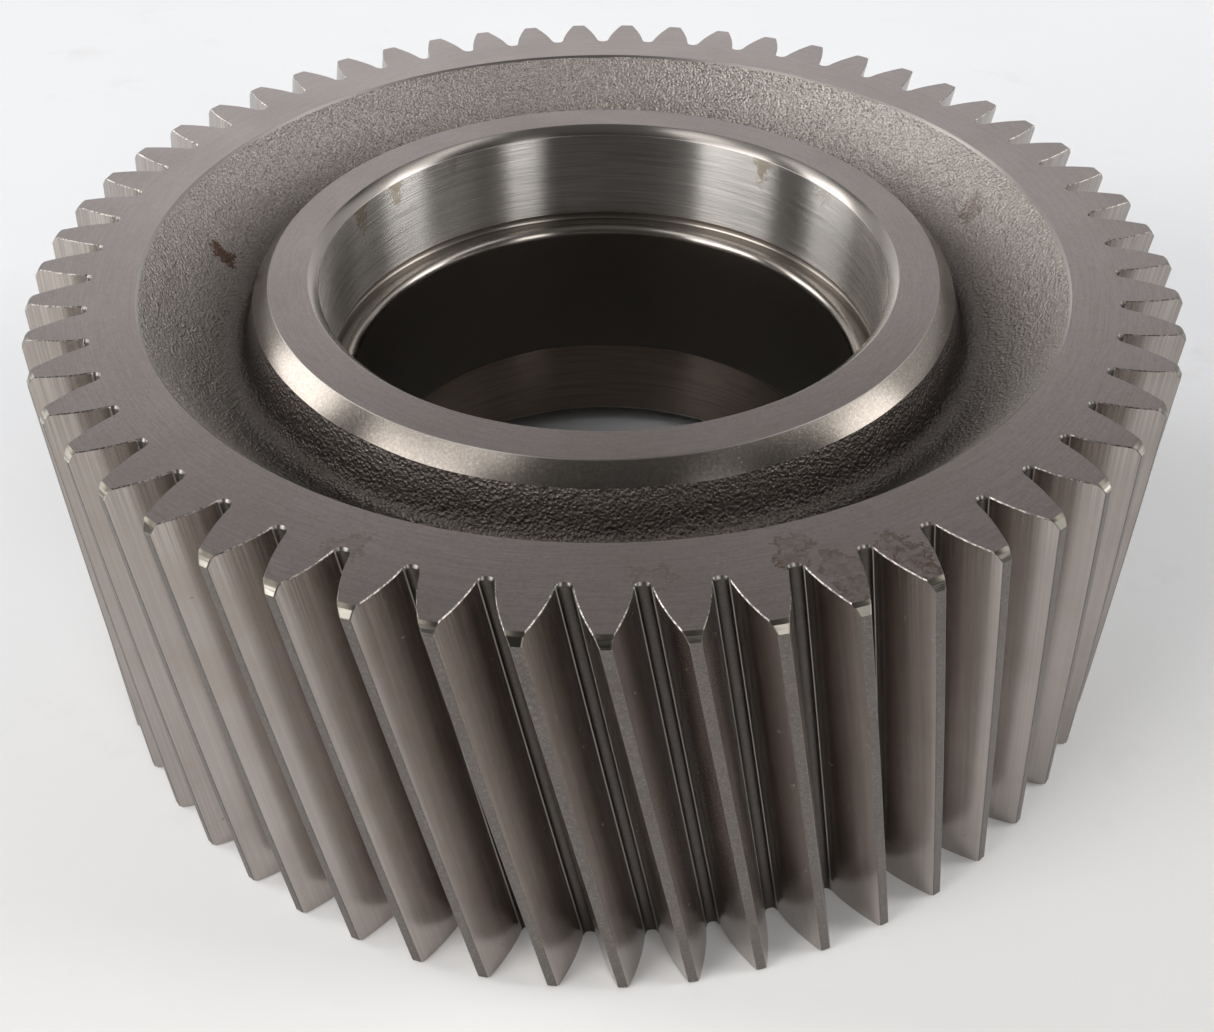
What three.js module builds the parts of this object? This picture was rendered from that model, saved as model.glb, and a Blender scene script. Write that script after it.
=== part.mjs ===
// Helical gear with a dished web and a recessed hub.
// One solid forged and machined steel piece: toothed rim, web and hub are the
// same material, with a ground seat for a rolling bearing at each end of the
// bore. Millimetres, +Z up. The origin is on the gear axis at mid face width.
import * as THREE from 'three';

// ---- toothing -------------------------------------------------------------
const TEETH = 55;
const NORMAL_MODULE = 6;
const NORMAL_PRESSURE_ANGLE = THREE.MathUtils.degToRad(20);
const HELIX_ANGLE = THREE.MathUtils.degToRad(9.62); // at the pitch circle
const HAND = -1;                       // -1 left-hand, +1 right-hand
const PROFILE_SHIFT = 0.08 * NORMAL_MODULE;
const ADDENDUM = 1.34 * NORMAL_MODULE; // deep, high contact ratio tooth
const DEDENDUM = 1.68 * NORMAL_MODULE;
const FACE_WIDTH = 141;
// Tip chamfers at the tooth ends; the lower ends only have their edge broken.
const UPPER_TIP_CHAMFER = { radial: 2.35, axial: 2.65 };
const LOWER_TIP_CHAMFER = { radial: 0.9, axial: 0.9 };
// Centre of one tooth at the +Z face, anticlockwise from +X: just short of -Y.
const FIRST_TOOTH_ANGLE = -Math.PI / 2 + THREE.MathUtils.degToRad(-0.15);

// Heights above the root circle of the points that draw a tooth
const FILLET_RISE = 0.45;
const FLANK_START_RISE = 2;
const FLANK_MIDDLE_RISE = 9.1;
const FILLET_SHARE = 0.2;              // fillet point, from flank start to mid gap

// ---- blank, the same on both faces ----------------------------------------
const RIM_INNER_R = 142.8;             // edge between rim face and dish
const DISH = [                         // radius, depth below the rim face
  [132.5, 11.6],
  [122.7, 23.3],
  [118.1, 25.4],
  [114.6, 23.5],
];
const HUB_FACE_DROP = 5.3;             // the hub face sits below the rim face
const HUB_FACE_R = 105.2;
const HUB_CHAMFER = 5.4;               // 45 degrees, outer edge of the hub

// ---- bore -----------------------------------------------------------------
const SEAT_R = 90;                     // bearing seat
const SEAT_CHAMFER = 2.9;              // 45 degrees
const SHOULDER_DEPTH = 37.7;           // hub face to bearing shoulder
const RELIEF_R = 91.3;                 // grinding relief beside the shoulder
const RELIEF_WIDTH = 2.8;
const RELIEF_SLOPE = 1.1;              // axial length of the slope from the seat
const RELIEF_SINK = 0.3;               // the relief also undercuts the shoulder's outer edge
const SHOULDER_FLAT_R = 89.1;          // outer edge of the shoulder's flat
const THROAT_R = 83.4;                 // bore between the two shoulders
const THROAT_ROUND = 3.2;

// ---- resolution -----------------------------------------------------------
const LATHE_SEGMENTS = 88;
const HELIX_SLICES = 3;

// ---- derived gear geometry ------------------------------------------------
const HALF_WIDTH = FACE_WIDTH / 2;
const TOOTH_PITCH_ANGLE = (2 * Math.PI) / TEETH;
const cosHelix = Math.cos(HELIX_ANGLE);
const transversePressureAngle = Math.atan(Math.tan(NORMAL_PRESSURE_ANGLE) / cosHelix);
const pitchR = (TEETH * NORMAL_MODULE) / (2 * cosHelix);
const baseR = pitchR * Math.cos(transversePressureAngle);
const tipR = pitchR + PROFILE_SHIFT + ADDENDUM;
const rootR = pitchR + PROFILE_SHIFT - DEDENDUM;
const lead = (Math.PI * TEETH * NORMAL_MODULE) / Math.sin(HELIX_ANGLE);

const involute = (angle) => Math.tan(angle) - angle;
const normalThickness =
  (Math.PI * NORMAL_MODULE) / 2 + 2 * PROFILE_SHIFT * Math.tan(NORMAL_PRESSURE_ANGLE);
const pitchThickness = normalThickness / cosHelix;
const baseHalfAngle = pitchThickness / (2 * pitchR) + involute(transversePressureAngle);

// Half the angle a tooth spans at a radius; constant inside the base circle.
function toothHalfAngle(radius) {
  if (radius <= baseR) return baseHalfAngle;
  return baseHalfAngle - involute(Math.acos(baseR / radius));
}

const polar = (radius, angle) =>
  new THREE.Vector2(radius * Math.cos(angle), radius * Math.sin(angle));

// One tooth as [radius, angle from the tooth centre], anticlockwise from the
// middle of one gap to just before the middle of the next.
function toothProfile(tipRadius) {
  const gapMiddle = TOOTH_PITCH_ANGLE / 2;
  const flankStartR = rootR + FLANK_START_RISE;
  const flankStart = toothHalfAngle(flankStartR);
  const filletAngle = flankStart + FILLET_SHARE * (gapMiddle - flankStart);
  const rising = [
    [rootR + FILLET_RISE, -filletAngle],
    ...[flankStartR, rootR + FLANK_MIDDLE_RISE, tipRadius].map((r) => [r, -toothHalfAngle(r)]),
  ];
  const falling = rising.map(([radius, angle]) => [radius, -angle]).reverse();
  return [[rootR, -gapMiddle], ...rising, ...falling];
}

// Outline of the whole toothing at height z, anticlockwise.
function toothingOutline(z) {
  const chamfer = z > 0 ? UPPER_TIP_CHAMFER : LOWER_TIP_CHAMFER;
  const chamferShare = Math.max(0, 1 - (HALF_WIDTH - Math.abs(z)) / chamfer.axial);
  const profile = toothProfile(tipR - chamfer.radial * chamferShare);
  const helixTurn = (HAND * 2 * Math.PI * (z - HALF_WIDTH)) / lead;
  return Array.from({ length: TEETH }, (_, i) => {
    const centre = FIRST_TOOTH_ANGLE + i * TOOTH_PITCH_ANGLE + helixTurn;
    return profile.map(([radius, angle]) => polar(radius, centre + angle));
  }).flat();
}

// Heights of the toothing outlines, from the +Z face down.
function toothingHeights() {
  const top = HALF_WIDTH - UPPER_TIP_CHAMFER.axial;
  const bottom = -HALF_WIDTH + LOWER_TIP_CHAMFER.axial;
  const heights = [HALF_WIDTH, top];
  for (let i = 1; i < HELIX_SLICES; i++) {
    heights.push(THREE.MathUtils.lerp(top, bottom, i / HELIX_SLICES));
  }
  return [...heights, bottom, -HALF_WIDTH];
}

// Inner profile of the blank from the +Z rim face down through the bore to the
// -Z rim face, as [radius, z].
function innerProfile() {
  const hub = HALF_WIDTH - HUB_FACE_DROP;
  const shoulder = hub - SHOULDER_DEPTH;
  const roundMiddle = THROAT_ROUND * (1 - Math.SQRT1_2); // midpoint of the quarter round
  const upper = [
    [RIM_INNER_R, HALF_WIDTH],
    ...DISH.map(([radius, depth]) => [radius, HALF_WIDTH - depth]),
    [HUB_FACE_R + HUB_CHAMFER, hub - HUB_CHAMFER],
    [HUB_FACE_R, hub],
    [SEAT_R + SEAT_CHAMFER, hub],
    [SEAT_R, hub - SEAT_CHAMFER],
    [SEAT_R, shoulder + RELIEF_WIDTH],
    [RELIEF_R, shoulder + RELIEF_WIDTH - RELIEF_SLOPE],
    [RELIEF_R, shoulder - RELIEF_SINK],
    [SHOULDER_FLAT_R, shoulder],
    [THROAT_R + THROAT_ROUND, shoulder],
    [THROAT_R + roundMiddle, shoulder - roundMiddle],
    [THROAT_R, shoulder - THROAT_ROUND],
  ];
  return [...upper, ...upper.map(([radius, z]) => [radius, -z]).reverse()];
}

function circle(radius) {
  return Array.from({ length: LATHE_SEGMENTS }, (_, i) =>
    polar(radius, (i * 2 * Math.PI) / LATHE_SEGMENTS));
}

// Triangles of the wall between neighbouring rings, listed from the top down.
// The wall faces away from the axis if outward, else towards it.
function wallTriangles(rings, outward) {
  const triangles = [];
  for (let level = 0; level + 1 < rings.length; level++) {
    const upper = rings[level];
    const lower = rings[level + 1];
    const count = upper.points.length;
    for (let i = 0; i < count; i++) {
      const next = (i + 1) % count;
      const top = upper.start + i;
      const topNext = upper.start + next;
      const bottom = lower.start + i;
      const bottomNext = lower.start + next;
      if (outward) triangles.push(top, bottom, bottomNext, top, bottomNext, topNext);
      else triangles.push(top, bottomNext, bottom, top, topNext, bottomNext);
    }
  }
  return triangles;
}

// Triangles of a flat rim face between the toothing and the dish edge.
function rimFaceTriangles(outer, inner, facesUp) {
  const hole = [...inner.points].reverse();
  const points = [...outer.points, ...hole];
  const vertexIds = [
    ...outer.points.map((_, i) => outer.start + i),
    ...inner.points.map((_, i) => inner.start + i).reverse(),
  ];
  return THREE.ShapeUtils.triangulateShape([...outer.points], [hole]).flatMap(([a, b, c]) => {
    const anticlockwise = THREE.ShapeUtils.area([points[a], points[b], points[c]]) > 0;
    const corners = anticlockwise === facesUp ? [a, b, c] : [a, c, b];
    return corners.map((corner) => vertexIds[corner]);
  });
}

function buildGearGeometry() {
  const positions = [];
  const addRing = (points, z) => {
    const start = positions.length / 3;
    for (const { x, y } of points) positions.push(x, y, z);
    return { start, points };
  };
  const outer = toothingHeights().map((z) => addRing(toothingOutline(z), z));
  const inner = innerProfile().map(([radius, z]) => addRing(circle(radius), z));

  const geometry = new THREE.BufferGeometry();
  geometry.setAttribute('position', new THREE.Float32BufferAttribute(positions, 3));
  geometry.setIndex([
    ...wallTriangles(outer, true),
    ...wallTriangles(inner, false),
    ...rimFaceTriangles(outer[0], inner[0], true),
    ...rimFaceTriangles(outer.at(-1), inner.at(-1), false),
  ]);
  geometry.computeVertexNormals();
  return geometry;
}

const steel = new THREE.MeshStandardMaterial({
  name: 'ground_steel',
  color: new THREE.Color(0.42, 0.4, 0.39),
  roughness: 0.38,
  metalness: 1,
});

const gear = new THREE.Mesh(buildGearGeometry(), steel);
gear.name = 'helical_gear';

const part = new THREE.Group();
part.name = 'helical_gear_part';
part.add(gear);

export default part;
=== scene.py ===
"""A helical gear lying flat on a pale floor, in a light tent.

The gear's axis is Z and its mid plane is z = 0. Its rim face carries a dished web, a hub and
a stepped bore on both sides. The camera looks along +Y and down. Shape dimensions are in mm.
"""
import math
from collections import namedtuple
from functools import cached_property

import bpy
import numpy as np
from mathutils import Matrix, Vector


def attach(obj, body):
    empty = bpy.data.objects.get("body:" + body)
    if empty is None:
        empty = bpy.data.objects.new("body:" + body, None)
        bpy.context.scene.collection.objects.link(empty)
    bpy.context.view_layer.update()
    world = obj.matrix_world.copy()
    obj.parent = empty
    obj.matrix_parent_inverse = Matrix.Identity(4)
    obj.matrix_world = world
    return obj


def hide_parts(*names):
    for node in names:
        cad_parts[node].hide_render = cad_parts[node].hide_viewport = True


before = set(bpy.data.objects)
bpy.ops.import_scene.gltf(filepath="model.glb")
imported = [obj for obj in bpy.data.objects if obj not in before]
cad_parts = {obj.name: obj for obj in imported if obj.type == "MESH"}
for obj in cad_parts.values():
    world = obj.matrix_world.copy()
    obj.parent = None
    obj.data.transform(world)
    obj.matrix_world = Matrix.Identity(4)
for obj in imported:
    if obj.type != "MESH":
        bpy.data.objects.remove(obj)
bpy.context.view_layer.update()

# ---------------------------------------------------------------- driving dimensions, mm
MM = 0.001                               # metres in a millimetre
TEETH = 55
MODULE = 6.0                             # normal module
HELIX = math.radians(9.62)
PRESSURE_N = math.radians(20)            # normal pressure angle
PRESSURE_T = math.atan(math.tan(PRESSURE_N) / math.cos(HELIX))
SHIFT = 0.08 * MODULE                    # profile shift
PITCH_R = TEETH * MODULE / 2 / math.cos(HELIX)
BASE_R = PITCH_R * math.cos(PRESSURE_T)
TIP_R = PITCH_R + SHIFT + 1.34 * MODULE
ROOT_R = PITCH_R + SHIFT - 1.68 * MODULE
LEAD = math.pi * TEETH * MODULE / math.sin(HELIX)
THICKNESS = (math.pi * MODULE / 2 + 2 * SHIFT * math.tan(PRESSURE_N)) / math.cos(HELIX)
HALF_PITCH = math.pi / TEETH             # angle
FIRST_TOOTH = math.radians(-0.15)        # angle of the nearest tooth from -Y, at the top
HALF_WIDTH = 70.5                        # half the face width
HUB_Z = HALF_WIDTH - 5.3
SHOULDER_Z = HUB_Z - 37.7                # step between the seat and the throat
SEAT_R = 90.0
SEAT_END = 3.2                           # height of the seat's inner end over the shoulder
THROAT_R = 83.4
THROAT_ROUND = 3.2


# ================================================================ shader nodes
def scaled(color, *factors):
    """A colour times one factor, or times one per channel."""
    return np.multiply(color, factors).tolist()


class Nodes:
    """Short calls that add nodes to a tree. Each returns an output socket."""

    def __init__(self, tree):
        self.tree = tree
        tree.nodes.clear()

    def node(self, kind, **settings):
        node = self.tree.nodes.new("ShaderNode" + kind)
        for key, value in settings.items():
            setattr(node, key, value)
        return node

    def link(self, value, socket):
        """Feed a socket from another socket, or set it to a number, vector or RGB colour."""
        if isinstance(value, bpy.types.NodeSocket):
            self.tree.links.new(value, socket)
        else:
            if hasattr(value, "__len__") and len(socket.default_value) == 4:
                value = (*value, 1.0)
            socket.default_value = value

    def math(self, operation, *values, clamp=False):
        node = self.node("Math", operation=operation, use_clamp=clamp)
        for value, socket in zip(values, node.inputs):
            self.link(value, socket)
        return node.outputs[0]

    def add(self, a, b):
        return self.math("ADD", a, b)

    def sub(self, a, b, clamp=False):
        return self.math("SUBTRACT", a, b, clamp=clamp)

    def mul(self, a, b, clamp=False):
        return self.math("MULTIPLY", a, b, clamp=clamp)

    def div(self, a, b, clamp=False):
        return self.math("DIVIDE", a, b, clamp=clamp)

    def split(self, vector):
        node = self.node("SeparateXYZ")
        self.link(vector, node.inputs[0])
        return node.outputs

    def ramp(self, fac, stops):
        """Grey colour ramp; stops are (position, value)."""
        node = self.node("ValToRGB")
        elements = node.color_ramp.elements
        while len(elements) < len(stops):
            elements.new(0.5)
        for element, (position, value) in zip(elements, stops):
            element.position = position
            element.color = (value, value, value, 1)
        self.link(fac, node.inputs[0])
        return node.outputs[0]

    def mix(self, fac, a, b):
        """Colour a where fac is 0, colour b where it is 1."""
        node = self.node("Mix", data_type="RGBA")
        for value, index in ((fac, 0), (a, 6), (b, 7)):
            self.link(value, node.inputs[index])
        return node.outputs[2]


class Material(Nodes):
    """A material with one Principled surface and coordinates in millimetres."""

    def __init__(self, name):
        self.material = bpy.data.materials.new(name)
        self.material.use_nodes = True
        super().__init__(self.material.node_tree)
        self.out = self.node("OutputMaterial")
        self.bsdf = self.node("BsdfPrincipled")
        self.link(self.bsdf.outputs[0], self.out.inputs["Surface"])

    @cached_property
    def obj(self):
        """Object position in mm."""
        node = self.node("VectorMath", operation="SCALE")
        self.link(self.node("TexCoord").outputs["Object"], node.inputs[0])
        self.link(1000.0, node.inputs["Scale"])
        return node.outputs[0]

    @cached_property
    def xyz(self):
        return self.split(self.obj)

    x = property(lambda self: self.xyz[0])
    y = property(lambda self: self.xyz[1])
    z = property(lambda self: self.xyz[2])

    @cached_property
    def r(self):
        """Distance from the axis."""
        return self.length(self.x, self.y)

    @cached_property
    def direction(self):
        """Place on the unit circle, seamless round the gear."""
        return self.div(self.x, self.r), self.div(self.y, self.r)

    def length(self, x, y):
        return self.math("SQRT", self.add(self.mul(x, x), self.mul(y, y)))

    def shifted(self, offset):
        """Object position moved by a fixed offset, for an independent noise."""
        node = self.node("VectorMath", operation="ADD")
        self.link(self.obj, node.inputs[0])
        self.link(offset, node.inputs[1])
        return node.outputs[0]

    def noise(self, vector, scale=1.0, detail=2.0, rough=0.5, distortion=0.0):
        node = self.node("TexNoise")
        values = (("Vector", vector), ("Scale", scale), ("Detail", detail),
                  ("Roughness", rough), ("Distortion", distortion))
        for key, value in values:
            self.link(value, node.inputs[key])
        return node.outputs["Fac"]

    def blotch(self, scale, seed, detail=3.0):
        """Broad clouds."""
        offset = (seed, seed * 1.7, seed * 0.6)
        return self.noise(self.shifted(offset), scale=scale, detail=detail, rough=0.55)

    def wrap(self, direction, circle, radial, axial):
        """Noise space on a circle of the given radius.

        Radius and height share the third axis, so that the arc keeps two seamless ones.
        """
        node = self.node("CombineXYZ")
        values = (self.mul(direction[0], circle), self.mul(direction[1], circle),
                  self.add(self.mul(self.r, radial), self.mul(self.z, axial)))
        for value, socket in zip(values, node.inputs):
            self.link(value, socket)
        return node.outputs[0]

    def around(self, radial, arc, axial):
        """Cylindrical noise space: scale per mm of radius, of arc at radius 140, of height."""
        return self.wrap(self.direction, 140.0 * arc, radial, axial)

    def bump(self, height, distance):
        """Surface relief; distance in mm."""
        node = self.node("Bump")
        node.inputs["Distance"].default_value = distance * MM
        self.link(height, node.inputs["Height"])
        return node.outputs[0]

    def tangent(self):
        return self.node("Tangent", direction_type="RADIAL", axis="Z").outputs[0]

    def surface(self, color, rough, normal=None, metal=1.0, aniso=None, turn=0.25):
        """Set the Principled shader. A quarter turn spreads the highlight across marks that
        run round the gear."""
        inputs = {"Base Color": color, "Roughness": rough, "Metallic": metal}
        if normal is not None:
            inputs["Normal"] = normal
        if aniso is not None:
            inputs.update({"Anisotropic": aniso, "Anisotropic Rotation": turn,
                           "Tangent": self.tangent()})
        for key, value in inputs.items():
            self.link(value, self.bsdf.inputs[key])

    def brushed(self, across, along, color, normal):
        """A metal lobe of its own width across and along the marks round the gear."""
        node = self.node("BsdfAnisotropic", distribution="GGX")
        alpha = math.sqrt(across * along)
        inputs = {"Roughness": math.sqrt(alpha), "Anisotropy": 1 - along / alpha,
                  "Color": color, "Normal": normal, "Tangent": self.tangent()}
        for key, value in inputs.items():
            self.link(value, node.inputs[key])
        return node.outputs[0]

    def blend_with(self, fac, shader):
        """Mix another shader over the Principled one."""
        node = self.node("MixShader")
        for value, socket in zip((fac, self.bsdf.outputs[0], shader), node.inputs):
            self.link(value, socket)
        self.link(node.outputs[0], self.out.inputs["Surface"])


# ================================================================ gear materials
# stains: x, y, radius in mm, strength
RIM_STAINS = [
    (45.0, -144.5, 4.2, 0.85), (43.8, -150.0, 3.8, 1.0), (56.0, -152.0, 6.6, 0.8),
    (58.0, -160.0, 5.6, 1.0), (68.6, -146.5, 6.0, 0.9), (72.5, -150.0, 6.2, 1.0),
    (75.2, -154.1, 4.5, 1.0), (-61.5, -144.5, 5.0, 0.5), (11.0, -156.0, 5.0, 0.5)]
FORGING_STAINS = [(-126.8, 22.6, 3.6, 2.5), (127.0, 42.0, 3.2, 0.6)]
# oil on the seat: degrees from +Y towards +X, width and depth in mm, strength
OIL = [(-66.0, 15.0, 18.0, 0.9), (-53.5, 11.0, 13.0, 0.95), (-37.0, 9.0, 8.0, 0.4),
       (39.5, 12.0, 16.0, 0.9), (58.0, 14.0, 11.0, 0.35)]
WARM = (0.280, 0.2425, 0.2325)


def stain_mask(mat, stains):
    """Ragged patches with a stronger tide line."""
    ragged = dict(scale=0.22, detail=4.0, rough=0.75)
    reach = 15.0                         # mm, full swing of the ragged outline
    warp_x = mat.noise(mat.obj, **ragged)
    warp_y = mat.noise(mat.shifted((31.0, 17.0, 5.0)), **ragged)
    warped_x = mat.math("MULTIPLY_ADD", mat.sub(warp_x, 0.5), reach, mat.x)
    warped_y = mat.math("MULTIPLY_ADD", mat.sub(warp_y, 0.5), reach, mat.y)
    patchy = mat.ramp(mat.noise(mat.obj, scale=0.33, detail=4.0, rough=0.7, distortion=0.8),
                      [(0.38, 0.35), (0.56, 1.0)])
    total = None
    for x, y, radius, strength in stains:
        distance = mat.length(mat.sub(warped_x, x), mat.sub(warped_y, y))
        inside = mat.sub(1.0, mat.div(distance, radius), clamp=True)
        edge = mat.ramp(inside, [(0.0, 0.0), (0.10, 1.0), (0.26, 1.0), (0.42, 0.45), (1.0, 0.75)])
        mask = mat.mul(mat.mul(edge, patchy), strength)
        total = mask if total is None else mat.math("MAXIMUM", total, mask)
    return mat.math("MINIMUM", total, 1.0)


def oil_mask(mat, visible):
    """Patches hanging below the upper chamfer."""
    ragged = mat.ramp(mat.noise(mat.shifted((7.0, 3.0, 1.0)), scale=0.42, detail=4.0, rough=0.7),
                      [(0.40, 0.0), (0.60, 1.0)])
    bearing = mat.math("ARCTAN2", mat.x, mat.y)
    depth = mat.sub(HUB_Z - 2.9, mat.z)
    total = None
    for degrees, width, deep, strength in OIL:
        offset = mat.sub(bearing, math.radians(degrees))
        along = mat.mul(mat.math("ABSOLUTE", offset), SEAT_R)
        down = mat.div(mat.math("MAXIMUM", depth, 0.0), deep)
        fit = mat.sub(1.0, mat.add(mat.div(along, width / 2), down), clamp=True)
        # ragged threshold, then a fade to nothing at the rim of the patch
        mask = mat.sub(mat.add(fit, mat.mul(ragged, 0.55)), 0.50)
        mask = mat.mul(mask, 3.5, clamp=True)
        mask = mat.mul(mask, mat.mul(fit, 4.0, clamp=True))
        mask = mat.mul(mask, strength)
        total = mask if total is None else mat.math("MAXIMUM", total, mask)
    if visible:
        cover = mat.add(0.35, mat.mul(mat.noise(mat.obj, scale=0.9, detail=3.0, rough=0.6), 0.7))
    else:
        cover = 0.0
    return mat.mul(total, cover)


def paint_turned(mat, lines, base=WARM, stains=(), dirt=0.5):
    """Turned face; lines is the relief of the turning marks in mm."""
    fine = mat.noise(mat.around(radial=2.4, arc=0.07, axial=2.4), detail=3.0, rough=0.7)
    short = mat.noise(mat.around(radial=1.6, arc=0.35, axial=1.6), detail=3.0, rough=0.75)
    fleck = mat.noise(mat.obj, scale=1.1, detail=3.0, rough=0.7)
    cloud = mat.blotch(scale=0.035, seed=3.0)
    smudge = mat.blotch(scale=0.018, seed=9.0, detail=4.0)
    color = mat.mix(mat.mul(cloud, 0.5 * dirt), base, scaled(base, 0.80))
    # layers in turn: smudges, fine dark lines, short bright lines, dark flecks
    for source, stops, tint in (
            (smudge, [(0.48, 0.0), (0.66, 0.45 * dirt)], scaled(base, 0.66, 0.62, 0.56)),
            (fine, [(0.40, 0.40), (0.55, 0.0)], scaled(base, 0.66)),
            (short, [(0.55, 0.0), (0.72, 0.30)], scaled(base, 1.40)),
            (fleck, [(0.34, 0.40), (0.52, 0.0)], scaled(base, 0.62))):
        color = mat.mix(mat.ramp(source, stops), color, tint)
    rough = mat.add(0.30, mat.mul(mat.add(cloud, mat.mul(fleck, 0.7)), 0.09))
    metal = 1.0
    if stains:
        mask = stain_mask(mat, stains)
        brown = mat.mix(mat.noise(mat.obj, scale=1.2, detail=4.0, rough=0.7),
                        (0.045, 0.028, 0.018), (0.11, 0.070, 0.045))
        color = mat.mix(mat.mul(mask, 0.88), color, brown)
        rough = mat.add(rough, mat.mul(mask, 0.18))
        metal = mat.sub(1.0, mat.mul(mask, 0.12))
    height = mat.add(fine, mat.add(mat.mul(short, 0.8), mat.mul(fleck, 0.5)))
    mat.surface(color=color, rough=rough, metal=metal, normal=mat.bump(height, lines), aniso=0.35)


def paint_seat(mat, base=(0.66, 0.628, 0.592), oiled=True):
    """Bore wall with marks running round it and patches of oil."""
    scratch = mat.noise(mat.around(radial=0.0, arc=0.02, axial=4.0), detail=3.0, rough=0.6)
    line = mat.noise(mat.around(radial=0.0, arc=0.03, axial=1.7), detail=4.0, rough=0.7)
    cloud = mat.blotch(scale=0.05, seed=5.0)
    oil = oil_mask(mat, oiled)
    color = mat.mix(mat.mul(cloud, 0.4), base, scaled(base, 0.8))
    color = mat.mix(mat.ramp(line, [(0.38, 0.6), (0.60, 0.0)]), color, scaled(base, 0.66))
    color = mat.mix(mat.ramp(scratch, [(0.36, 0.75), (0.54, 0.0)]), color, scaled(base, 0.55))
    color = mat.mix(oil, color, (0.165, 0.118, 0.045))
    rough = mat.add(0.325, mat.add(mat.mul(oil, 0.16), mat.mul(cloud, 0.03)))
    skin = mat.bump(scratch, distance=0.012)
    mat.surface(color=color, rough=rough, normal=skin, aniso=1.0)
    mat.blend_with(mat.sub(0.88, mat.mul(oil, 0.6)),
                   mat.brushed(across=0.334, along=0.016, color=color, normal=skin))


def paint_plain(mat, base, rough, lines=0.003, aniso=0.8, axial=3.0, radial=3.0, arc=0.05,
                dirt=0.4, fleck=0.0, stripe=0.0):
    """Machined metal: marks of relief `lines` mm, with optional flecks and dark stripes."""
    fine = mat.noise(mat.around(radial, arc, axial), detail=3.0, rough=0.65)
    cloud = mat.blotch(scale=0.06, seed=2.0)
    color = mat.mix(mat.mul(cloud, dirt), base, scaled(base, 0.7))
    if stripe:
        color = mat.mix(mat.ramp(fine, [(0.44, stripe), (0.54, 0.0)]), color, scaled(base, 0.25))
    if fleck:
        spots = mat.noise(mat.obj, scale=1.3, detail=3.0, rough=0.75)
        color = mat.mix(mat.ramp(spots, [(0.36, fleck), (0.52, 0.0)]), color, scaled(base, 0.62))
        color = mat.mix(mat.ramp(spots, [(0.54, 0.0), (0.68, fleck)]), color, scaled(base, 1.45))
        fine = mat.add(fine, mat.mul(spots, 0.6))
    rough = mat.add(rough, mat.mul(mat.sub(fine, 0.5), 0.12))
    mat.surface(color=color, rough=rough, normal=mat.bump(fine, lines), aniso=aniso)


def paint_forging(mat):
    """Lumpy forged skin, with painted shade in the bottom of the dish and painted light on its
    outer slope near the rim.
    """
    voronoi = mat.node("TexVoronoi", feature="SMOOTH_F1")
    for key, value in (("Vector", mat.obj), ("Scale", 0.95), ("Smoothness", 0.25)):
        mat.link(value, voronoi.inputs[key])
    cell = voronoi.outputs["Distance"]
    grain = mat.noise(mat.obj, scale=1.7, detail=3.0, rough=0.6, distortion=0.2)
    coarse = mat.noise(mat.obj, scale=0.32)
    height = mat.add(mat.mul(cell, 0.9), mat.add(grain, mat.mul(coarse, 1.2)))
    cloud = mat.blotch(scale=0.03, seed=7.0, detail=4.0)
    pits = mat.ramp(grain, [(0.40, 1.0), (0.56, 0.0)])
    color = mat.mix(cloud, (0.262, 0.235, 0.216), (0.205, 0.180, 0.163))
    color = mat.mix(mat.mul(pits, 0.5), color, (0.085, 0.070, 0.060))
    # painted light on the outer slope of the dish: lighter from radius 123 out to 135
    outer = mat.div(mat.sub(mat.r, 123.0), 12.0, clamp=True)
    color = mat.mix(outer, color, mat.mix(pits, (0.335, 0.302, 0.281), (0.180, 0.160, 0.147)))
    # painted shade in the bottom of the dish: darker within 10.5 mm of radius 115.5, patchy with
    # the cloud
    off_center = mat.math("ABSOLUTE", mat.sub(mat.r, 115.5))
    low = mat.sub(1.0, mat.div(off_center, 10.5), clamp=True)
    painted_dish_shade = mat.mul(low, mat.add(0.52, mat.mul(cloud, 0.6)))
    color = mat.mix(painted_dish_shade, color, (0.068, 0.058, 0.052))
    rust = stain_mask(mat, FORGING_STAINS)
    color = mat.mix(mat.mul(rust, 0.9), color, (0.085, 0.036, 0.018))
    rough = mat.add(0.26, mat.mul(mat.noise(mat.obj, scale=0.9), 0.16))
    mat.surface(color=color, metal=mat.sub(1.0, mat.mul(rust, 0.35)),
                rough=mat.add(rough, mat.mul(rust, 0.3)), normal=mat.bump(height, distance=0.40))


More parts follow.
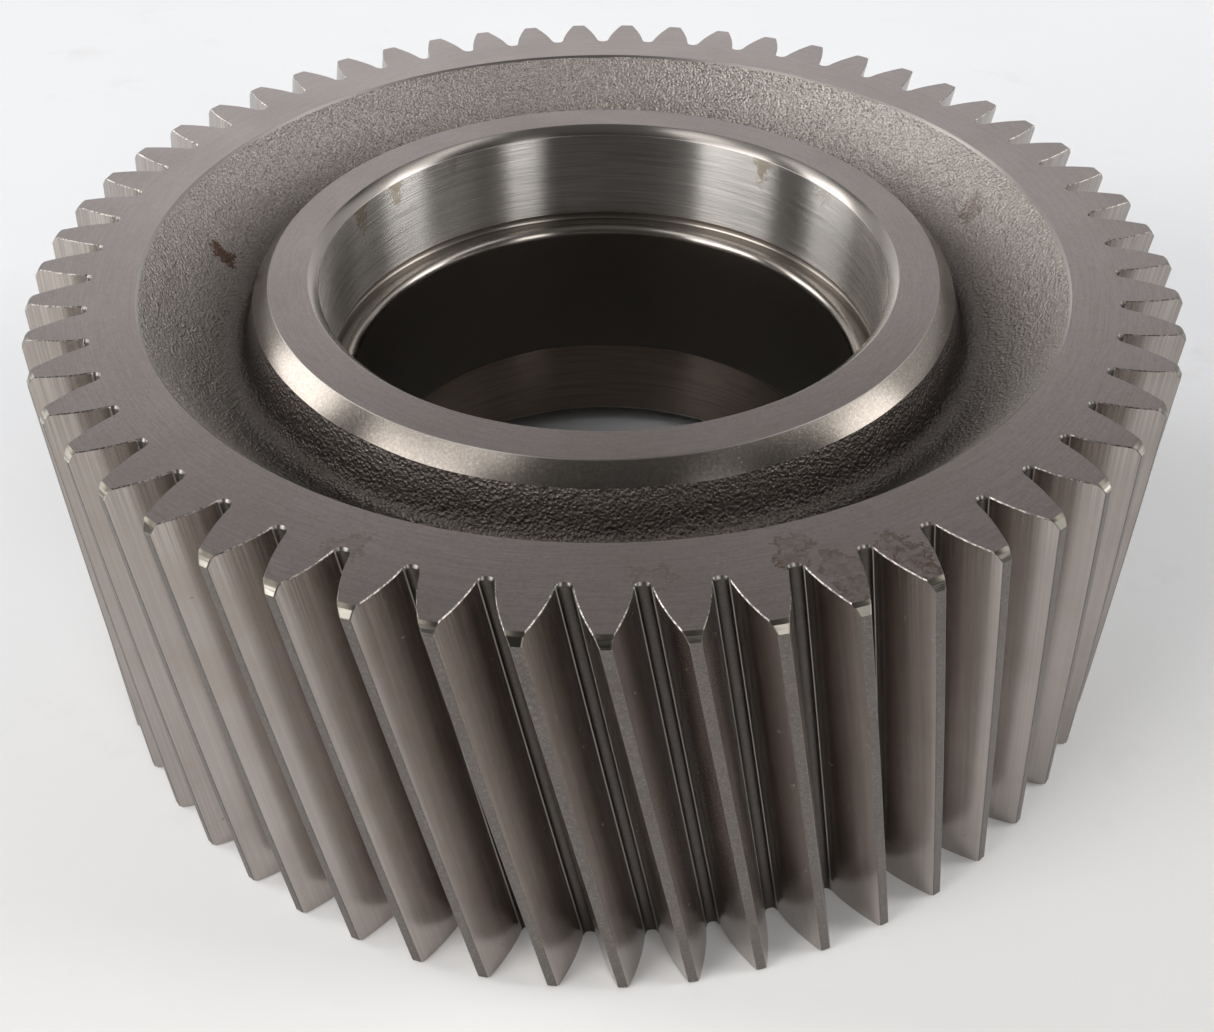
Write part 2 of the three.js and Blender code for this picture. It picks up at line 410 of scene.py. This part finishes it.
def paint_flank(mat, base=(0.418, 0.378, 0.355), rough=0.24):
    """Tooth side with streaks along the tooth, more contrasted near the top end."""
    # this angle stays constant along a tooth
    angle = mat.add(mat.math("ARCTAN2", mat.y, mat.x), mat.mul(mat.z, 2 * math.pi / LEAD))
    direction = mat.math("COSINE", angle), mat.math("SINE", angle)
    fine = mat.noise(mat.wrap(direction, circle=300.0, radial=1.5, axial=0.010), rough=0.6)
    broad = mat.noise(mat.wrap(direction, circle=150.0, radial=0.5, axial=0.02))
    cloud = mat.blotch(scale=0.05, seed=11.0)
    top = mat.div(mat.sub(mat.z, HALF_WIDTH - 14.0), 12.0, clamp=True)
    specks = mat.ramp(mat.noise(mat.obj, scale=0.22, detail=4.0, rough=0.75),
                      [(0.70, 0.0), (0.76, 1.0)])
    color = mat.mix(mat.ramp(fine, [(0.40, 0.336), (0.60, 0.0)]), base, scaled(base, 0.72))
    color = mat.mix(mat.ramp(broad, [(0.40, 0.112), (0.62, 0.0)]), color, scaled(base, 0.66))
    color = mat.mix(mat.ramp(cloud, [(0.45, 0.0), (0.75, 0.4)]), color,
                    scaled(base, 0.72, 0.69, 0.64))
    # bright, then dark streaks at the top end
    for stops, factor in (([(0.50, 0.0), (0.62, 0.32)], 1.40), ([(0.38, 0.32), (0.48, 0.0)], 0.6)):
        color = mat.mix(mat.mul(mat.ramp(fine, stops), top), color, scaled(base, factor))
    color = mat.mix(mat.mul(specks, 0.8), color, (0.14, 0.09, 0.05))
    rough = mat.add(rough, mat.add(mat.mul(mat.sub(broad, 0.5), 0.10), mat.mul(specks, 0.25)))
    # the highlight spreads over the profile and stays crisp along the face width
    mat.surface(color=color, rough=rough, normal=mat.bump(broad, distance=0.003), aniso=0.6,
                turn=0.0)


def paint_root(mat):
    """Dark floor of the gaps."""
    base = (0.13, 0.118, 0.110)
    grain = mat.noise(mat.obj, scale=1.1, detail=3.0, rough=0.6)
    mat.surface(color=mat.mix(grain, base, scaled(base, 0.6)),
                rough=mat.add(0.42, mat.mul(grain, 0.15)), normal=mat.bump(grain, distance=0.03))


def paint_deburr(mat):
    """Nicked bevel at the tooth ends."""
    nick = mat.noise(mat.obj, scale=1.5)
    color = mat.mix(mat.ramp(nick, [(0.44, 0.0), (0.58, 1.0)]),
                    (0.10, 0.092, 0.085), (0.34, 0.31, 0.285))
    mat.surface(color=color, rough=mat.add(0.30, mat.mul(nick, 0.15)),
                normal=mat.bump(nick, distance=0.10))


# material name: painter and its settings, in slot order
FINISHES = {
    "turned_face": (paint_turned, dict(lines=0.012, stains=RIM_STAINS)),
    "hub_face": (paint_turned, dict(lines=0.010, base=(0.244, 0.2115, 0.202), dirt=0.7)),
    "hub_chamfer": (paint_plain, dict(base=(0.208, 0.184, 0.162), rough=0.205, lines=0.012,
                                      axial=2.5, radial=2.5, fleck=0.55)),
    "bore_chamfer": (paint_plain, dict(base=(0.27, 0.248, 0.228), rough=0.22)),
    "seat": (paint_seat, {}),
    "relief": (paint_plain, dict(base=(0.29, 0.262, 0.235), rough=0.30, lines=0.002)),
    "shoulder": (paint_plain, dict(base=(0.36, 0.33, 0.30), rough=0.32)),
    "throat_edge": (paint_plain, dict(base=(0.28, 0.255, 0.230), rough=0.22)),
    "throat": (paint_plain, dict(base=(0.080, 0.070, 0.060), rough=0.45, lines=0.006,
                                 aniso=0.2)),
    # the seat's finish, darker and without oil: painted shade on the lower side, deep in the bore
    "seat_lower": (paint_seat, dict(base=(0.215, 0.172, 0.145), oiled=False)),
    "forging": (paint_forging, {}),
    "edge_break": (paint_plain, dict(base=(0.27, 0.25, 0.235), rough=0.34, lines=0.002,
                                     aniso=0.3)),
    "flank": (paint_flank, {}),
    "root": (paint_root, {}),
    "ledge": (paint_flank, dict(base=(0.36, 0.335, 0.315), rough=0.30)),
    "tip_land": (paint_plain, dict(base=(0.180, 0.162, 0.149), rough=0.36, lines=0.004, aniso=0.2,
                                   axial=1.5, radial=0.5, arc=0.4, dirt=1.0, fleck=0.70)),
    "facet_upper": (paint_plain, dict(base=(0.105, 0.094, 0.078), rough=0.36, lines=0.004,
                                      aniso=0.2, arc=0.3)),
    "facet_lower": (paint_plain, dict(base=(0.235, 0.218, 0.188), rough=0.33, lines=0.030,
                                      aniso=0.3, axial=2.2, radial=2.2, arc=0.04, stripe=0.85)),
    "deburr": (paint_deburr, {}),
    "root_end": (paint_plain, dict(base=(0.20, 0.185, 0.17), rough=0.36, lines=0.03, aniso=0.2,
                                   axial=1.5, radial=1.5, arc=1.0)),
}


# ================================================================ mesh building
class MeshParts:
    """Points, faces and one finish name per face."""

    def __init__(self):
        self.blocks, self.faces, self.finishes, self.count = [], [], [], 0

    def ring(self, points):
        """Add points and return their indices."""
        start = self.count
        self.blocks.append(points)
        self.count += len(points)
        return np.arange(start, self.count)

    def points(self):
        return np.concatenate(self.blocks)

    def face(self, indices, finish, flip=False):
        indices = [int(i) for i in indices]
        self.faces.append(indices[::-1] if flip else indices)
        self.finishes.append(finish)

    def strip(self, a, b, finishes, flip=False):
        """Quads between two closed rings of equal length, with one finish or one per quad."""
        a_next, b_next = np.roll(a, -1), np.roll(b, -1)
        corners = [a, a_next, b_next, b] if flip else [a, b, b_next, a_next]
        self.faces.extend(np.stack(corners, 1).tolist())
        self.finishes.extend([finishes] * len(a) if isinstance(finishes, str) else finishes)


# ---------------------------------------------------------------- toothing
# half a gap floor: distance from the gap centre, height over the root circle
ROOT = [(x, ROOT_R + rise) for x, rise in (
    (0.0, -0.25), (0.64, -0.21), (1.17, -0.02), (1.53, 0.32),
    (1.72, 0.72), (1.80, 1.04), (1.87, 1.13), (2.05, 1.17))]
TIP_CORNER = 0.18                        # height of the broken tip corner
# radii of the flank points
FLANK = [ROOT_R + rise for rise in (1.30, 1.91, 3.3, 5.4, 8.0, 10.6, 13.3, 15.9)]
FLANK.append(TIP_R - TIP_CORNER)
LEDGE_X = ROOT[-1][0]
LEDGE_R = FLANK[0]
LEDGE_QUADS = 3                          # strip quads on the ledge, at the foot of the flank
# One end of the teeth, with distances in from it: deburr is the bevel on the flanks, facet and
# taper end the two facets on the tip; *_drop is how far the tip is cut down at the end and at
# the facet; bevels are the widths on the clockwise and the anticlockwise flank, seen from +Z.
ToothEnd = namedtuple("ToothEnd", "deburr facet taper end_drop facet_drop bevels")
UPPER_END = ToothEnd(deburr=0.30, facet=0.78, taper=2.65, end_drop=2.35, facet_drop=1.32,
                     bevels=(0.30, 0.22))
LOWER_END = ToothEnd(deburr=0.25, facet=0.45, taper=0.90, end_drop=0.9, facet_drop=0.45,
                     bevels=(0.22, 0.30))
ROOT_POINTS = len(ROOT)
HALF_POINTS = ROOT_POINTS + len(FLANK) + 1   # root, flank and the tip corner
TOOTH_POINTS = 2 * HALF_POINTS
RIGHT_ROOT = TOOTH_POINTS - ROOT_POINTS + 1  # first root point on the anticlockwise side
INNER_RINGS = 17                         # rings between the tapers of the two ends
FOOT_POINTS = 3                          # extra end-face points across the foot of each tooth
WEB_R = 155.5                            # inner radius of the end faces' toothed part


def involute(angle):
    return math.tan(angle) - angle


def tooth_half_angle(r):
    at_base = THICKNESS / (2 * PITCH_R) + involute(PRESSURE_T)
    return at_base - (involute(math.acos(BASE_R / r)) if r > BASE_R else 0.0)


def half_profile(inset, end, bevel):
    """(radius, angle from the gap centre) from gap centre to tip, inset mm from the end."""
    profile = []
    near = max(0.0, 1 - inset / end.facet)
    drop = 0.55 * near ** 1.2            # the gap floor dips and widens towards the end
    spread = 0.25 * near
    for x, root_r in ROOT:
        r = root_r - drop * (1 - 0.45 * x / LEDGE_X)
        profile.append((r, x * (1 + spread / LEDGE_X) / r))
    tip = TIP_R - float(np.interp(inset, [0.0, end.facet, end.taper],
                                  [end.end_drop, end.facet_drop, 0.0]))
    cut = bevel * max(0.0, 1 - inset / end.deburr)
    stretch = (tip - TIP_CORNER - LEDGE_R) / (FLANK[-1] - LEDGE_R)
    for flank_r in FLANK:
        r = LEDGE_R + (flank_r - LEDGE_R) * stretch
        slope = math.acos(BASE_R / r)
        profile.append((r, HALF_PITCH - tooth_half_angle(r) + cut / (r * math.cos(slope))))
    corner = 0.24                        # width of the broken tip corner
    profile.append((tip, HALF_PITCH - tooth_half_angle(tip) + corner / tip + cut * 1.15 / tip))
    return profile


def tooth_ring(z):
    """Outline of all teeth at one height."""
    end = UPPER_END if z > 0 else LOWER_END
    left, right = (half_profile(HALF_WIDTH - abs(z), end, bevel) for bevel in end.bevels)
    profile = [(r, -(HALF_PITCH - angle)) for r, angle in left]
    profile.append((left[-1][0], 0.0))
    profile += [(r, HALF_PITCH - angle) for r, angle in right[:0:-1]]
    profile = np.array(profile)
    centers = (-math.pi / 2 + FIRST_TOOTH + 2 * math.pi * np.arange(TEETH) / TEETH
               + 2 * math.pi * (HALF_WIDTH - z) / LEAD)
    angle = (centers[:, None] + profile[None, :, 1]).ravel()
    r = np.tile(profile[:, 0], TEETH)
    return np.c_[r * np.cos(angle), r * np.sin(angle), np.full(len(r), z)]


def tooth_finishes(inset, end):
    """Finishes of a strip whose farther edge is inset mm from the end."""
    slack = 0.01
    at_facet = inset <= end.facet + slack
    at_deburr = inset <= end.deburr + slack
    if at_facet:
        tip = "facet_upper"
    else:
        tip = "facet_lower" if inset <= end.taper + slack else "tip_land"
    half = ["root_end" if at_facet else "root"] * (ROOT_POINTS - LEDGE_QUADS)
    half += ["root_end" if at_deburr else "ledge"] * LEDGE_QUADS
    half += ["deburr" if at_deburr else "flank"] * (len(FLANK) - 1)
    half.append(tip)
    return (half + [tip, tip] + half[::-1]) * TEETH


def add_teeth(parts):
    """The toothed surface; returns its top and bottom rings."""
    width = 2 * HALF_WIDTH
    upper, lower = ([0.0, end.deburr, end.facet, end.taper] for end in (UPPER_END, LOWER_END))
    inner = np.linspace(upper[-1], width - lower[-1], INNER_RINGS + 2)[1:-1]
    depths = upper + list(inner) + [width - inset for inset in lower[::-1]]
    rings = [parts.ring(tooth_ring(HALF_WIDTH - depth)) for depth in depths]
    for k in range(len(depths) - 1):
        if depths[k + 1] < HALF_WIDTH:
            finishes = tooth_finishes(depths[k + 1], UPPER_END)
        else:
            finishes = tooth_finishes(width - depths[k], LOWER_END)
        parts.strip(rings[k], rings[k + 1], finishes)
    return rings[0], rings[-1]


def add_end_face(parts, ring, z):
    """Flat ends of the teeth and the rim down to WEB_R; returns the inner ring."""
    outline = ring.reshape(TEETH, TOOTH_POINTS)
    points = parts.points()[ring]
    angles = np.unwrap(np.arctan2(points[:, 1], points[:, 0])).reshape(TEETH, TOOTH_POINTS)
    # inner ring: a point under each root point, and FOOT_POINTS under the tooth
    foot = np.linspace(angles[:, ROOT_POINTS - 1], angles[:, RIGHT_ROOT],
                       FOOT_POINTS + 2, axis=1)[:, 1:-1]
    angle = np.hstack([angles[:, :ROOT_POINTS], foot, angles[:, RIGHT_ROOT:]]).ravel()
    web = parts.ring(np.c_[WEB_R * np.cos(angle), WEB_R * np.sin(angle), np.full(len(angle), z)])
    web_rows = web.reshape(TEETH, -1)

    def put(*indices):
        parts.face(indices, "turned_face", flip=z < 0)

    for i in range(TEETH):
        following = (i + 1) % TEETH
        outer = np.append(outline[i], outline[following, 0])
        inner = np.append(web_rows[i], web_rows[following, 0])
        for j in range(ROOT_POINTS - 1):
            put(inner[j], outer[j], outer[j + 1], inner[j + 1])
        under = inner[ROOT_POINTS - 1:ROOT_POINTS + FOOT_POINTS + 1]
        put(*under[::-1], outer[ROOT_POINTS - 1], outer[RIGHT_ROOT])
        for j in range(ROOT_POINTS - 1):
            a, b = RIGHT_ROOT + j, ROOT_POINTS + FOOT_POINTS + j
            put(inner[b], outer[a], outer[a + 1], inner[b + 1])
        # ladder up the tooth
        for j in range(ROOT_POINTS - 1, HALF_POINTS - 1):
            put(outer[j], outer[j + 1], outer[TOOTH_POINTS - j - 1], outer[TOOTH_POINTS - j])
        put(*outer[HALF_POINTS - 1:HALF_POINTS + 2])
    return web


# ---------------------------------------------------------------- web, hub and bore
SEGMENTS = TEETH * 6
RIM_RADII = (149.2, 143.42)              # circles on the flat rim face
# section of the dish: radius, depth below the rim face
DISH = [(142.70, 0.72), (139.1, 5.7), (134.7, 12.3), (129.1, 18.9), (124.3, 23.0),
        (120.4, 25.0), (116.8, 24.6), (114.4, 21.9), (112.5, 16.6), (110.6, 10.75)]
# hub section: radius, depth below the hub face, finish of the strip that ends there
HUB = [(105.38, 0.17, "hub_chamfer"), (105.10, 0.0, "edge_break"), (99.5, 0.0, "hub_face"),
       (93.05, 0.0, "hub_face"), (92.78, 0.13, "edge_break"), (90.11, 2.86, "bore_chamfer"),
       (SEAT_R, 3.1, "edge_break")]
# groove at the foot of the seat: radius, height over the shoulder, finish on the upper side
RELIEF = [(90.22, 2.75, "relief"), (90.9, 2.0, "relief"), (91.3, 1.3, "relief"),
          (91.3, 0.4, "relief"), (91.0, -0.1, "relief"), (90.2, -0.24, "relief"),
          (89.5, -0.1, "relief"), (89.1, 0.0, "edge_break"),
          (THROAT_R + THROAT_ROUND, 0.0, "shoulder")]


def around_gear():
    return 2 * math.pi * np.arange(SEGMENTS) / SEGMENTS


def circle(r, z, phase):
    angle = phase + around_gear()
    return np.c_[r * np.cos(angle), r * np.sin(angle), np.broadcast_to(z, SEGMENTS)]


def waves(seed, orders, size):
    """Smooth periodic noise round the gear."""
    rng = np.random.default_rng(seed)
    total = np.zeros(SEGMENTS)
    for k in orders:
        wave = rng.normal() * np.cos(k * around_gear() + rng.uniform(0, 6.28))
        total += wave / math.sqrt(len(orders))
    return total * size


def catmull_rom(points, steps):
    """Smooth curve through the points, with this many steps between neighbours."""
    p = np.array(points, float)
    p = np.vstack([2 * p[0] - p[1], p, 2 * p[-1] - p[-2]])
    curve = []
    for i in range(1, len(p) - 2):
        a, b, c, d = p[i - 1:i + 3]
        for t in np.linspace(0, 1, steps, endpoint=False):
            curve.append(0.5 * ((2 * b) + (c - a) * t + (2 * a - 5 * b + 4 * c - d) * t ** 2
                                + (3 * b - a - 3 * c + d) * t ** 3))
    curve.append(p[-2])
    return curve


def dish_rows(seed):
    """(radius, height, finish) of the uneven circles of the dish."""
    edge = waves(seed + 1, range(5, 60), size=0.05)
    rim_r, rim_depth = DISH[0]
    rows = [(rim_r + edge, HALF_WIDTH - rim_depth + edge, "edge_break")]
    curve = catmull_rom(DISH, steps=3)[1:]
    last = len(curve) - 1
    for i, (r, depth) in enumerate(curve):
        # forged skin: slow waves with a little lumpiness, fading out at both edges
        skin = (waves(seed + 10 + i // 4, range(3, 14), size=0.22) * 0.7
                + waves(seed + 40 + i, range(20, 120), size=0.06))
        skin = skin * min(1.0, i / 3, (last - i) / 3)
        outward, down = skin, skin * 0.4
        if i == last:
            outward = down = waves(seed + 90, range(5, 30), size=0.07) * 0.7
        rows.append((r + outward, HALF_WIDTH - depth - down, "forging"))
    return rows


def side_rows(upper):
    """(radius, height, finish of the strip that ends there) from the rim to the throat."""
    rows = [(r, HALF_WIDTH, "turned_face") for r in RIM_RADII]
    rows += dish_rows(seed=100 if upper else 200)
    rows += [(r, HUB_Z - depth, finish) for r, depth, finish in HUB]
    # on the lower side, deep in the bore, the seat, relief groove and shoulder take a darker copy
    # of the seat finish and the throat round takes the dark throat finish: painted shade
    seat = "seat" if upper else "seat_lower"
    heights = np.linspace(HUB_Z - HUB[-1][1], SHOULDER_Z + SEAT_END, 6)[1:]
    rows += [(SEAT_R, height, seat) for height in heights]
    rows += [(r, SHOULDER_Z + rise, finish if upper else "seat_lower")
             for r, rise, finish in RELIEF]
    for degrees in (18, 36, 54, 72, 90):
        a = math.radians(degrees)
        rows.append((THROAT_R + THROAT_ROUND * (1 - math.sin(a)),
                     SHOULDER_Z - THROAT_ROUND * (1 - math.cos(a)),
                     "throat_edge" if upper else "throat"))
    return rows


def add_side(parts, web, phase, upper):
    """Rim face, dish, hub and bore down to the throat; returns the last ring."""
    sign = 1 if upper else -1
    previous = None
    for r, height, finish in side_rows(upper):
        current = parts.ring(circle(r, sign * height, phase))
        if previous is None:
            # the toothed part's inner ring is finer, so each face takes several of its points
            groups = web.reshape(SEGMENTS, -1)
            for i in range(SEGMENTS):
                j = (i + 1) % SEGMENTS
                parts.face([current[i], *groups[i], groups[j][0], current[j]], finish,
                           flip=not upper)
        else:
            parts.strip(previous, current, finish, flip=upper)
        previous = current
    return previous


def add_throat(parts, top, bottom, top_phase, bottom_phase):
    """Throat wall, turning slightly from one side's ring to the other's."""
    turn = (bottom_phase - top_phase + math.pi) % (2 * math.pi) - math.pi
    previous = top
    for t in np.linspace(0, 1, 6)[1:-1]:
        z = (SHOULDER_Z - THROAT_ROUND) * (1 - 2 * t)
        current = parts.ring(circle(THROAT_R, z, top_phase + turn * t))
        parts.strip(previous, current, "throat", flip=True)
        previous = current
    parts.strip(previous, bottom, "throat", flip=True)


def mark_tip_edges(mesh, slots):
    """Sharpen the edges where different tip finishes meet."""
    crisp = {slots[name] for name in ("facet_upper", "facet_lower", "tip_land")}
    touching = {}
    for polygon in mesh.polygons:
        if polygon.material_index in crisp:
            for key in polygon.edge_keys:
                touching.setdefault(key, set()).add(polygon.material_index)
    for edge in mesh.edges:
        if len(touching.get(edge.key, ())) > 1:
            edge.use_edge_sharp = True


def link_object(name, data):
    obj = bpy.data.objects.new(name, data)
    bpy.context.scene.collection.objects.link(obj)
    return obj


def build_gear():
    parts = MeshParts()
    top_ring, bottom_ring = add_teeth(parts)
    webs = (add_end_face(parts, top_ring, HALF_WIDTH),
            add_end_face(parts, bottom_ring, -HALF_WIDTH))
    points = parts.points()
    phases = [math.atan2(points[web[0], 1], points[web[0], 0]) for web in webs]
    top = add_side(parts, webs[0], phases[0], upper=True)
    bottom = add_side(parts, webs[1], phases[1], upper=False)
    add_throat(parts, top, bottom, *phases)

    slots = {name: i for i, name in enumerate(FINISHES)}
    mesh = bpy.data.meshes.new("gear")
    mesh.from_pydata((parts.points() * MM).tolist(), [], parts.faces)
    indices = np.array([slots[name] for name in parts.finishes], dtype=np.int32)
    mesh.polygons.foreach_set("material_index", indices)
    mesh.polygons.foreach_set("use_smooth", np.ones(len(parts.faces), dtype=bool))
    mesh.set_sharp_from_angle(angle=math.radians(24))
    mark_tip_edges(mesh, slots)
    mesh.validate()
    mesh.update()
    gear = link_object("gear_steel", mesh)
    for name, (paint, settings) in FINISHES.items():
        mat = Material(name)
        paint(mat, **settings)
        mesh.materials.append(mat.material)
    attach(gear, "root")
    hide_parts("helical_gear")


# ================================================================ floor
def paint_paper(mat):
    """Pale paper, warmer towards the camera, with a faint glow round the gear."""
    tone = mat.noise(mat.obj, scale=0.006, detail=4.0, rough=0.6)
    marks = mat.ramp(mat.noise(mat.obj, scale=0.02, detail=4.0, rough=0.7),
                     [(0.60, 0.0), (0.78, 0.5)])
    # 0 beyond y = 125, 1 nearer than y = -375
    near = mat.math("MULTIPLY_ADD", mat.y, -1 / 500.0, 0.25, clamp=True)
    color = mat.mix(near, mat.mix(tone, (0.835, 0.84, 0.855), (0.785, 0.79, 0.805)),
                    mat.mix(tone, (0.83, 0.815, 0.79), (0.775, 0.76, 0.735)))
    color = mat.mix(mat.mul(marks, 0.5), color, (0.62, 0.60, 0.58))
    mat.surface(color=color, rough=0.6, metal=0.0)
    # the glow rises over radius 148 to 160 and fades over 178 to 328
    rise = mat.div(mat.sub(mat.r, 148.0), 12.0, clamp=True)
    fade = mat.sub(1.0, mat.div(mat.sub(mat.r, 178.0), 150.0, clamp=True))
    for key, value in (("Specular IOR Level", 0.3), ("Emission Color", color),
                       ("Emission Strength", mat.mul(mat.mul(rise, fade), 0.11))):
        mat.link(value, mat.bsdf.inputs[key])


def build_floor():
    half = 6.0                           # metres
    z = -HALF_WIDTH * MM - 0.00005       # just clear of the gear
    mesh = bpy.data.meshes.new("floor")
    corners = [(-half, -half, z), (half, -half, z), (half, half, z), (-half, half, z)]
    mesh.from_pydata(corners, [], [(0, 1, 2, 3)])
    link_object("floor", mesh)
    paper = Material("paper")
    paint_paper(paper)
    mesh.materials.append(paper.material)


# ================================================================ light
# A white tent lit from low down on both sides, dim overhead and behind the camera.
# Bands of (azimuth in degrees, brightness); azimuth is 0 towards the camera, + to the right.
LOW_BAND = [
    (-180, 1.9), (-165, 1.95), (-152, 1.3), (-140, 0.8), (-122, 1.2), (-116, 6.8), (-97, 7.2),
    (-94, 0.15), (-77, 0.15), (-73, 6.0), (-43, 6.0), (-40, 0.12), (-20, 0.08), (24, 0.08),
    (29, 5.6), (39, 5.6), (42, 0.15), (78, 0.2), (81, 6.8), (98, 6.8), (102, 1.6), (118, 1.1),
    (138, 0.85), (152, 1.1), (165, 1.5), (180, 1.9)]
HIGH_BAND = [
    (-180, 0.0), (-130, 0.0), (-118, 0.8), (-106, 2.4), (-98, 2.4), (-94, 0.5), (-78, 0.35),
    (-70, 0.45), (-50, 0.4), (-40, 0.15), (0, 0.08), (24, 0.08), (30, 0.2), (60, 0.08),
    (78, 0.2), (82, 2.2), (98, 2.2), (104, 1.0), (118, 0.6), (130, 0.0), (180, 0.0)]
TOP_BAND = [
    (-180, 0.1), (-125, 0.2), (-98, 0.6), (-78, 0.5), (-74, 3.2), (-44, 3.2), (-38, 0.3),
    (0, 0.22), (25, 0.2), (45, 0.2), (77, 0.4), (81, 2.7), (99, 2.7), (103, 0.5), (125, 0.2),
    (180, 0.1)]
SKY_STRENGTH = 5                         # scales brightness into the range of a colour
ZENITH, BELOW, WALL = 0.24, 0.8, 0.80    # brightness; the wall is what the camera sees


def build_world():
    world = bpy.data.worlds.new("studio")
    bpy.context.scene.world = world
    world.use_nodes = True
    sky = Nodes(world.node_tree)
    x, y, z = sky.split(sky.node("TexCoord").outputs["Generated"])
    turn = sky.div(sky.math("ARCTAN2", x, sky.mul(y, -1.0)), 2 * math.pi)
    azimuth = sky.add(turn, 0.5)
    elevation = sky.mul(sky.math("ARCSINE", z), 180 / math.pi)

    def band(stops):
        return sky.ramp(azimuth, [(a / 360 + 0.5, value / SKY_STRENGTH) for a, value in stops])

    def grey(value):
        return (value / SKY_STRENGTH,) * 3

    def step(value, low, high):
        node = sky.node("MapRange", interpolation_type="SMOOTHSTEP")
        for key, setting in (("Value", value), ("From Min", low), ("From Max", high)):
            sky.link(setting, node.inputs[key])
        return node.outputs[0]

    color = sky.mix(step(elevation, low=31, high=38), band(LOW_BAND), band(HIGH_BAND))
    color = sky.mix(step(elevation, low=47, high=57), color, band(TOP_BAND))
    color = sky.mix(step(elevation, low=66, high=76), color, grey(ZENITH))
    color = sky.mix(step(sky.mul(elevation, -1.0), low=0, high=3), color, grey(BELOW))
    # seen directly, the surroundings are a plain pale wall
    color = sky.mix(sky.node("LightPath").outputs["Is Camera Ray"], color, grey(WALL))
    background = sky.node("Background")
    sky.link(color, background.inputs[0])
    sky.link(SKY_STRENGTH, background.inputs[1])
    sky.link(background.outputs[0], sky.node("OutputWorld").inputs["Surface"])


def build_left_key():
    """A soft, weak key so that the left softboxes have some body."""
    azimuth, elevation = math.radians(-62), math.radians(40)
    distance = 1.7                       # metres from the gear's centre
    data = bpy.data.lights.new("left_key", "AREA")
    data.shape = "RECTANGLE"
    data.size, data.size_y = 0.9, 0.5
    data.energy = 4
    light = link_object("left_key", data)
    light.location = Vector((math.sin(azimuth) * math.cos(elevation),
                             -math.cos(azimuth) * math.cos(elevation),
                             math.sin(elevation))) * distance
    light.rotation_euler = (-light.location).to_track_quat("-Z", "Y").to_euler()
    light.visible_camera = False


# ================================================================ camera
def build_camera():
    yaw, pitch, roll = math.radians(-0.08), math.radians(39.53), math.radians(-0.40)
    back, rise = 2.2311, 1.2778          # in tip radii, from the centre of the top face
    position = Vector((0, -back * TIP_R * MM, (rise * TIP_R + HALF_WIDTH) * MM))
    forward = Vector((math.sin(yaw) * math.cos(pitch), math.cos(yaw) * math.cos(pitch),
                      -math.sin(pitch)))
    level = Vector((math.cos(yaw), -math.sin(yaw), 0))
    upright = level.cross(forward)
    right = level * math.cos(roll) + upright * math.sin(roll)
    up = -level * math.sin(roll) + upright * math.cos(roll)
    data = bpy.data.cameras.new("camera")
    camera = link_object("camera", data)
    data.sensor_width = 36
    data.lens = 41.8442175
    data.shift_x, data.shift_y = 0.003294893, -0.02940692
    data.clip_start, data.clip_end = 0.01, 50
    placement = Matrix((right, up, -forward)).transposed().to_4x4()
    placement.translation = position
    camera.matrix_world = placement
    bpy.context.scene.camera = camera


build_gear()
build_floor()
build_world()
build_left_key()
build_camera()
bpy.context.scene.view_settings.view_transform = "Standard"
bpy.context.scene.view_settings.look = "None"

bpy.context.view_layer.update()
